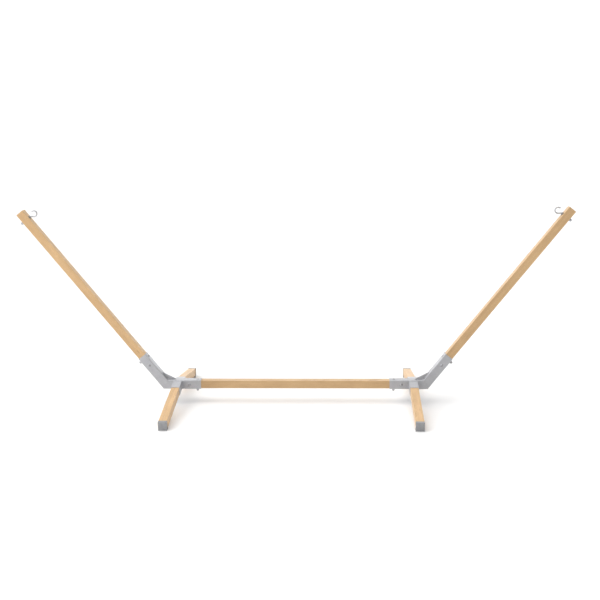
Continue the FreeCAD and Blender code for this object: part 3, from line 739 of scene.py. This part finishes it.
# ---------------------------------------------------------------- foot caps
def foot_cap(side, end, name):
    """A moulded cup round the timber's end, and the level sole that it stands on."""
    bm = bmesh.new()
    inner = HALF + CAP_GAP
    rings = [
        square_ring(inner - 0.5, 1.6, 0.0),
        square_ring(inner, ARRIS, -0.6),
        square_ring(inner, ARRIS, -CAP_SKIRT + 0.4),
        square_ring(inner + 0.35, ARRIS, -CAP_SKIRT),
        square_ring(CAP_HALF - 0.35, ARRIS, -CAP_SKIRT),
        square_ring(CAP_HALF, ARRIS + 0.5, -CAP_SKIRT + 0.4),
        square_ring(CAP_HALF, ARRIS + 0.5, CAP_PLATE - 1.2),
        square_ring(CAP_HALF - 0.16, ARRIS + 0.4, CAP_PLATE - 0.6),
        square_ring(CAP_HALF - 0.6, ARRIS + 0.2, CAP_PLATE - 0.16),
        square_ring(CAP_HALF - 1.2, ARRIS, CAP_PLATE),
    ]
    skin(bm, rings)
    front = (-CAP_HALF - SOLE_DROP * math.cos(SLOPE), CAP_PLATE + SOLE_DROP * math.sin(SLOPE))
    rear = (front[0] - SOLE_LENGTH * math.sin(SLOPE), front[1] - SOLE_LENGTH * math.cos(SLOPE))
    inside = -inner - 0.02
    wedge = bmesh.new()
    prism(wedge, [(inside, CAP_PLATE - 1.0), front, rear, (inside, rear[1])], CAP_HALF - 0.05, 0.7)
    bm = combined(bm, wedge, "UNION")
    matrix = moved(foot_frame(side, end), z=FOOT_LENGTH - CAP_PLATE)
    piece = new_piece(f"{name}_cap_moulding", bm, matrix, "stand", CAP)
    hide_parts(f"{name}_foot_cap")


# ---------------------------------------------------------------- fasteners
def bolt_solid(reach):
    """Domed bolt or screw with a hexagon key socket. Z points out of the head, from the head's seat."""
    bm = bmesh.new()
    shank = BOLT / 2
    half = BOLT_HEAD / 2
    ball = (half ** 2 + BOLT_HEAD_CROWN ** 2) / (2 * BOLT_HEAD_CROWN)
    centre = BOLT_HEAD_RIM + BOLT_HEAD_CROWN - ball
    spread = math.asin(half / ball)
    profile = [(shank - 0.7, -reach), (shank, 0.7 - reach), (shank, -0.4), (shank + 0.4, 0.0),
               (half - 0.3, 0.0), (half, 0.3), (half, BOLT_HEAD_RIM)]
    for step in range(1, 9):
        angle = spread * (1 - step / 9)
        profile.append((ball * math.sin(angle), centre + ball * math.cos(angle)))
    lathe(bm, profile)
    key = bmesh.new()
    radius = BOLT_KEY / 2 / math.cos(math.radians(30))
    top = BOLT_HEAD_RIM + BOLT_HEAD_CROWN
    rings = []
    for scale, z in ((1.0, top - BOLT_KEY_DEPTH), (1.0, top - 0.45), (1.12, top + 0.05), (1.12, top + 1.0)):
        ring = []
        for index in range(6):
            angle = math.radians(60 * index)
            ring.append((scale * radius * math.cos(angle), scale * radius * math.sin(angle), z, 0.0))
        rings.append(ring)
    skin(key, rings)
    return combined(bm, key, "DIFFERENCE")


def hexagon_rings(top, bearing=NUT_FLATS / 2 - 0.15, segments=72):
    """Rings of a nut's hexagon, whose corners are chamfered at both ends."""
    low, mid_low, mid_high, high = [], [], [], []
    for index in range(segments):
        angle = 2 * math.pi * index / segments
        flat = NUT_FLATS / 2 / math.cos((angle + math.pi / 6) % (math.pi / 3) - math.pi / 6)
        drop = (flat - bearing) * math.tan(math.radians(30))
        for ring, radius, z in ((low, bearing, 0.0), (mid_low, flat, drop), (mid_high, flat, top - drop),
                                (high, bearing, top)):
            ring.append((radius * math.cos(angle), radius * math.sin(angle), z, 0.0))
    return [low, mid_low, mid_high, high]


def cap_nut_solid():
    """Domed nut standing on Z = 0, bored from below."""
    bm = bmesh.new()
    bore = BOLT / 2
    rings = [round_ring(1.0, NUT_THREAD), round_ring(bore, NUT_THREAD - 1.4), round_ring(bore, 0.5),
             round_ring(bore + 0.5, 0.0)]
    rings += hexagon_rings(NUT_HEX)
    rings += [round_ring(NUT_DOME - 0.05, NUT_HEX + 0.2), round_ring(NUT_DOME, NUT_HEX + 0.5),
              round_ring(NUT_DOME, NUT_DOME_CENTRE)]
    for step in range(1, 11):
        angle = math.radians(90 * step / 10.6)
        rings.append(round_ring(NUT_DOME * math.cos(angle), NUT_DOME_CENTRE + NUT_DOME * math.sin(angle)))
    skin(bm, rings)
    return bm


def jam_nut_solid():
    bm = bmesh.new()
    bore = BOLT / 2
    rings = [round_ring(bore, 0.45), round_ring(bore + 0.45, 0.0)]
    rings += hexagon_rings(JAM_NUT)
    rings += [round_ring(bore + 0.45, JAM_NUT), round_ring(bore, JAM_NUT - 0.45)]
    skin(bm, rings, loop=True)
    return bm


def washer_solid():
    """Punched washer: one rolled-over rim and one sharp one."""
    bm = bmesh.new()
    rim = WASHER / 2
    bore = BOLT_HOLE / 2
    top = WASHER_THICK
    profile = [(bore + 0.15, 0.0), (rim - 0.15, 0.0), (rim, 0.15), (rim, top - 0.55),
               (rim - 0.17, top - 0.16), (rim - 0.6, top), (bore + 0.35, top), (bore, top - 0.3),
               (bore, 0.15)]
    lathe(bm, profile, 64, loop=True)
    return bm


def placed(solid, places):
    """Copies of one solid at several frames, as one bmesh in mm."""
    mesh = bpy.data.meshes.new("scratch")
    solid.to_mesh(mesh)
    solid.free()
    bm = bmesh.new()
    for matrix in places:
        at = matrix.copy()
        at.translation = matrix.translation / MM
        copy = bmesh.new()
        copy.from_mesh(mesh)
        bmesh.ops.transform(copy, matrix=at, verts=copy.verts)
        merge(bm, copy)
    bpy.data.meshes.remove(mesh)
    return bm


def bolt_ends(side):
    """Where each through bolt seats: (head side, far side), both pointing outwards."""
    upwards = ("Y", 90)
    post_front = ("X", -90 * side)
    beam_front = ("X", 90 * side)
    axes = [
        (moved(post_frame(side), z=POST_SOCKET - END_BOLT), upwards),
        (moved(post_frame(side), z=POST_SOCKET - CROSS_BOLT), post_front),
        (moved(beam_frame(side), z=BEAM_SOCKET - END_BOLT), upwards),
        (moved(beam_frame(side), z=BEAM_SOCKET - CROSS_BOLT), beam_front),
    ]
    ends = []
    for index, (middle, (axis, degrees)) in enumerate(axes):
        outward = turned(middle, axis, degrees)
        head = turned(moved(outward, z=TUBE), "Z", 17 * index)
        far = turned(turned(moved(outward, z=-TUBE), "X", 180), "Z", 11 + 23 * index)
        ends.append((head, far))
    return ends


def fasteners(side, name):
    ends = bolt_ends(side)
    screws = []
    for end in (-1, 1):
        downwards = turned(moved(foot_frame(side, end), z=FOOT_SCREW), "Y", -90)
        screws.append(turned(moved(downwards, z=TUBE), "Z", 20 * end))
    groups = [
        ("socket_bolts", bolt_solid(2 * TUBE + WASHER_THICK + BOLT_TAIL), [head for head, _ in ends]),
        ("socket_washers", washer_solid(), [far for _, far in ends]),
        ("socket_nuts", cap_nut_solid(), [moved(far, z=WASHER_THICK) for _, far in ends]),
        ("foot_screws", bolt_solid(FOOT_SCREW_LENGTH), screws),
    ]
    for kind, solid, places in groups:
        bm = placed(solid, places)
        piece = new_piece(f"{name}_{kind}_set", bm, STAND_FRAME, "stand", FASTENER_STEEL)
        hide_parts(f"{name}_{kind}")


# ---------------------------------------------------------------- hooks
def hook_path():
    """Centre line of the wire and where its bend starts. X points down the post and Z out of it."""
    turn = math.asin(HOOK_RING / (HOOK_RING_HEIGHT - HOOK_BEND_HEIGHT))
    rise = HALF + HOOK_BEND_HEIGHT - HOOK_BEND * math.tan(turn / 2)
    centre = Vector((0, 0, HALF + HOOK_RING_HEIGHT))
    points = [Vector((0, 0, rise))]
    for step in range(1, 11):
        angle = turn * step / 10
        across = HOOK_BEND - HOOK_BEND * math.cos(angle)
        points.append(Vector((across, 0, rise + HOOK_BEND * math.sin(angle))))
    start = centre + Vector((math.cos(turn), 0, -math.sin(turn))) * HOOK_RING
    points.append(points[-1].lerp(start, 0.5))
    end = math.pi + HOOK_TIP
    for step in range(73):
        angle = -turn + (end + turn) * step / 72
        points.append(centre + Vector((math.cos(angle), 0, math.sin(angle))) * HOOK_RING)
    return points, rise


def rounded_tip(points, wire):
    """The wire's centre line and its radii, with the tip rounded over and no points crowded behind it."""
    tip_start = points[-1]
    direction = (points[-1] - points[-2]).normalized()
    points = [point for point in points if (point - tip_start).length > 0.74 * wire]
    radii = [wire] * len(points)
    for back, scale in ((0.63, 1.0), (0.37, 0.93), (0.17, 0.80), (0.04, 0.58), (0.0, 0.35)):
        points.append(tip_start - direction * back * wire)
        radii.append(wire * scale)
    return points, radii


def shank_rings(rise, wire, segments):
    """The plain shank and the rolled thread above it, narrowing to the wire where the bend starts."""
    tail = -(HALF + WASHER_THICK + HOOK_FLOAT / 2 + BOLT_TAIL)
    thread_start = HALF - 4.0
    crest = BOLT / 2
    heights = [tail, tail + 0.7, thread_start]
    step = THREAD_PITCH / 8
    z = thread_start + step
    while z < rise - 0.2:
        heights.append(z)
        z += step
    rings = []
    for z in heights:
        ring = []
        for index in range(segments):
            angle = 2 * math.pi * index / segments
            radius = crest
            if z <= tail:
                radius = crest - 0.6
            elif z > thread_start:
                phase = ((z - thread_start) / THREAD_PITCH - index / segments) % 1.0
                depth = THREAD_DEPTH * max(0.0, 1 - abs(phase - 0.5) / 0.42)
                run_in = min(1.0, (z - thread_start) / 1.5)
                radius = min(crest - depth * run_in, wire + max(0.0, rise - 0.4 - z))
            ring.append((radius * math.cos(angle), radius * math.sin(angle), z, 0.0))
        rings.append(ring)
    return rings


def wire_rings(points, radii, segments):
    rings = []
    for index, (point, radius) in enumerate(zip(points, radii)):
        before = points[max(0, index - 1)]
        after = points[min(len(points) - 1, index + 1)]
        tangent = (after - before).normalized()
        across = Vector((tangent.z, 0, -tangent.x))
        ring = []
        for step in range(segments):
            angle = 2 * math.pi * step / segments
            spot = point + (across * math.cos(angle) + Vector((0, 1, 0)) * math.sin(angle)) * radius
            ring.append((spot.x, spot.y, spot.z, 0.0))
        rings.append(ring)
    return rings


def hook(side, name):
    """Bent eye with a threaded shank, and its washers and nuts. All but the washers turn with the hook."""
    centre_line, rise = hook_path()
    wire = HOOK_WIRE / 2
    segments = 32
    points, radii = rounded_tip(centre_line, wire)
    bm = bmesh.new()
    skin(bm, shank_rings(rise, wire, segments) + wire_rings(points, radii, segments))
    body = f"{name}_hook_body"
    piece = new_piece(f"{name}_hook_eye", bm, hook_frame(side), body, HOOK_STEEL, smooth=50)
    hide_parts(f"{name}_hook")

    seat = WASHER_THICK + HOOK_FLOAT / 2
    inner = moved(hook_frame(side), z=HALF)
    outer = turned(moved(hook_frame(side), z=-HALF), "X", 180)
    washers = placed(washer_solid(), [inner, outer])
    piece = new_piece(f"{name}_hook_washer_pair", washers, STAND_FRAME, "stand",
                      FASTENER_STEEL)
    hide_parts(f"{name}_hook_washers")
    jam = placed(jam_nut_solid(), [turned(moved(inner, z=seat), "Z", 12)])
    piece = new_piece(f"{name}_jam_nut", jam, STAND_FRAME, body, FASTENER_STEEL)
    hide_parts(f"{name}_hook_jam_nut")
    cap = placed(cap_nut_solid(), [turned(moved(outer, z=seat), "Z", 20)])
    piece = new_piece(f"{name}_dome_nut", cap, STAND_FRAME, body, FASTENER_STEEL)
    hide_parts(f"{name}_hook_cap_nut")


# ---------------------------------------------------------------- the whole stand
beam(wood("pine_beam", 3, (-74.0, 21.0), 0.97))
for side, side_name in ((-1, "left"), (1, "right")):
    # The left post's tone of 1.07, against 0.97 for the right post, is partly the timbers' own colour and
    # partly painted light: the left post is painted brighter, as if lit more strongly from the left.
    post(side, side_name, wood(f"pine_{side_name}_post", 1 if side < 0 else 2, (62.0, side * 38.0),
                               1.07 if side < 0 else 0.97))
    for kind, member_frame, length in (("post", post_frame, POST_SOCKET), ("beam", beam_frame, BEAM_SOCKET)):
        bolts = [("X", length - END_BOLT), ("Y", length - CROSS_BOLT)]
        tube(f"{side_name}_{kind}_tube", member_frame(side), lambda x: MITRE * x, length, bolts, LIT_AND_SHADED_PAINT[side],
             f"{side_name}_{kind}_socket")
    for end, end_name in ((-1, "front"), (1, "back")):
        foot_name = f"{side_name}_{end_name}"
        seed = 5 + side + 2 * end
        # The feet's tone of 1.10 is partly their own colour and partly painted light, brightening their tops
        # as if strongly lit.
        foot(side, end, foot_name, wood(f"pine_{foot_name}_foot", seed, (end * 55.0, side * 66.0), 1.10))
        tube(f"{foot_name}_foot_tube", foot_frame(side, end), foot_cut, FOOT_SOCKET / math.cos(SLOPE),
             [("UNDER", FOOT_SCREW)], LIT_AND_SHADED_PAINT[side], f"{foot_name}_foot_socket")
        foot_cap(side, end, foot_name)
    gusset(side, side_name)
    welds(side, side_name)
    fasteners(side, side_name)
    hook(side, side_name)


# ---------------------------------------------------------------- studio
WALL_LIGHT = 1.02
UPPER_WALL_LIGHT = 0.12
SKY_LIGHT = 1.65
SOFTBOXES = (
    # direction it stands in, half angle in degrees, strength
    ((-0.75, -0.10, 0.62), 38.0, 2.0),
    ((0.00, 0.90, 0.42), 40.0, 1.0),
)
FLOOR_REACH = 60.0
FLOOR_DROP = 0.0004
KEY_PLACE = Vector((-3.2, -3.0, 2.2))
KEY_AIM = Vector((-1.1, 0.0, 0.6))
KEY_SIZE = 1.6
KEY_POWER = 26.0
CAMERA_YAW = math.radians(2.497)
CAMERA_PITCH = math.radians(11.52)
CAMERA_ROLL = math.radians(-0.646)
CAMERA_LENS = 57.41
# in metres, from the middle of the beam
CAMERA_PLACE = (0.2915, -5.830, 1.7292)


def joined(tree, operation, first, second):
    """The sum or product of a node's output and a number or another output."""
    node = tree.nodes.new("ShaderNodeMath")
    node.operation = operation
    tree.links.new(first, node.inputs[0])
    if isinstance(second, float):
        node.inputs[1].default_value = second
    else:
        tree.links.new(second, node.inputs[1])
    return node.outputs[0]


def softbox(tree, direction, toward, half_angle, strength):
    """A round, soft-edged patch of light in the surroundings."""
    cosine = tree.nodes.new("ShaderNodeVectorMath")
    cosine.operation = "DOT_PRODUCT"
    tree.links.new(direction.outputs["Generated"], cosine.inputs[0])
    cosine.inputs[1].default_value = Vector(toward).normalized()
    fade = tree.nodes.new("ShaderNodeMapRange")
    fade.interpolation_type = "SMOOTHSTEP"
    fade.inputs["From Min"].default_value = math.cos(math.radians(half_angle))
    fade.inputs["From Max"].default_value = math.cos(math.radians(0.6 * half_angle))
    fade.inputs["To Max"].default_value = strength
    tree.links.new(cosine.outputs["Value"], fade.inputs["Value"])
    return fade.outputs["Result"]


def surroundings():
    """White low walls all round, a dim upper wall, a bright ceiling, and soft panels at the left and back."""
    scene = bpy.context.scene
    scene.view_settings.view_transform = "Standard"
    world = bpy.data.worlds.new("studio")
    scene.world = world
    world.use_nodes = True
    tree = world.node_tree
    background = tree.nodes["Background"]
    background.inputs["Color"].default_value = (1.0, 1.0, 1.0, 1.0)
    direction = tree.nodes.new("ShaderNodeTexCoord")
    parts = tree.nodes.new("ShaderNodeSeparateXYZ")
    sky = tree.nodes.new("ShaderNodeFloatCurve")
    tree.links.new(direction.outputs["Generated"], parts.inputs[0])
    tree.links.new(parts.outputs["Z"], sky.inputs["Value"])
    curve = sky.mapping.curves[0]
    curve.points[0].location = (0.0, WALL_LIGHT / SKY_LIGHT)
    curve.points[1].location = (1.0, 1.0)
    for height, strength in ((0.18, WALL_LIGHT), (0.30, UPPER_WALL_LIGHT), (0.72, UPPER_WALL_LIGHT),
                             (0.84, SKY_LIGHT)):
        curve.points.new(height, strength / SKY_LIGHT)
    for point in curve.points:
        point.handle_type = "VECTOR"
    sky.mapping.update()
    total = joined(tree, "MULTIPLY", sky.outputs[0], SKY_LIGHT)
    for toward, half_angle, strength in SOFTBOXES:
        total = joined(tree, "ADD", total, softbox(tree, direction, toward, half_angle, strength))
    tree.links.new(total, background.inputs["Strength"])


def studio_floor():
    n = Nodes("studio_floor")
    place = n.coordinates()
    tone = n.ramp(n.noise(place, 0.004, 3.0), [(0.3, 0.92), (0.7, 0.935)])
    n.link(tone, n.shader.inputs["Base Color"])
    n.shader.inputs["Roughness"].default_value = 0.9
    n.shader.inputs["Specular IOR Level"].default_value = 0.1
    mesh = bpy.data.meshes.new("studio_floor")
    reach = FLOOR_REACH
    mesh.from_pydata([(-reach, -reach, 0), (reach, -reach, 0), (reach, reach, 0), (-reach, reach, 0)], [],
                     [(0, 1, 2, 3)])
    mesh.materials.append(n.material)
    floor = bpy.data.objects.new("studio_floor", mesh)
    floor.location.z = -FLOOR_DROP
    bpy.context.scene.collection.objects.link(floor)


def key_light():
    """A soft square lamp at the left front."""
    light = bpy.data.lights.new("key_light", "AREA")
    light.shape = "SQUARE"
    light.size = KEY_SIZE
    light.energy = KEY_POWER
    lamp = bpy.data.objects.new("key_light", light)
    lamp.location = KEY_PLACE
    lamp.rotation_euler = (KEY_AIM - KEY_PLACE).to_track_quat("-Z", "Y").to_euler()
    bpy.context.scene.collection.objects.link(lamp)


def camera():
    """A standing viewer's eye in front of the stand, looking slightly down at it."""
    yaw, pitch, roll = CAMERA_YAW, CAMERA_PITCH, CAMERA_ROLL
    forward = Vector((-math.sin(yaw) * math.cos(pitch), math.cos(yaw) * math.cos(pitch), -math.sin(pitch)))
    level = Vector((math.cos(yaw), math.sin(yaw), 0))
    above = level.cross(forward)
    right = math.cos(roll) * level + math.sin(roll) * above
    up = -math.sin(roll) * level + math.cos(roll) * above
    matrix = Matrix((right, up, -forward)).transposed().to_4x4()
    matrix.translation = Vector(CAMERA_PLACE) + Vector((0, 0, BEAM_HEIGHT * MM))
    data = bpy.data.cameras.new("viewer")
    data.sensor_width = 36.0
    data.lens = CAMERA_LENS
    data.clip_end = 200.0
    viewer = bpy.data.objects.new("viewer", data)
    viewer.matrix_world = matrix
    bpy.context.scene.collection.objects.link(viewer)
    bpy.context.scene.camera = viewer


surroundings()
studio_floor()
key_light()
camera()
bpy.context.view_layer.update()
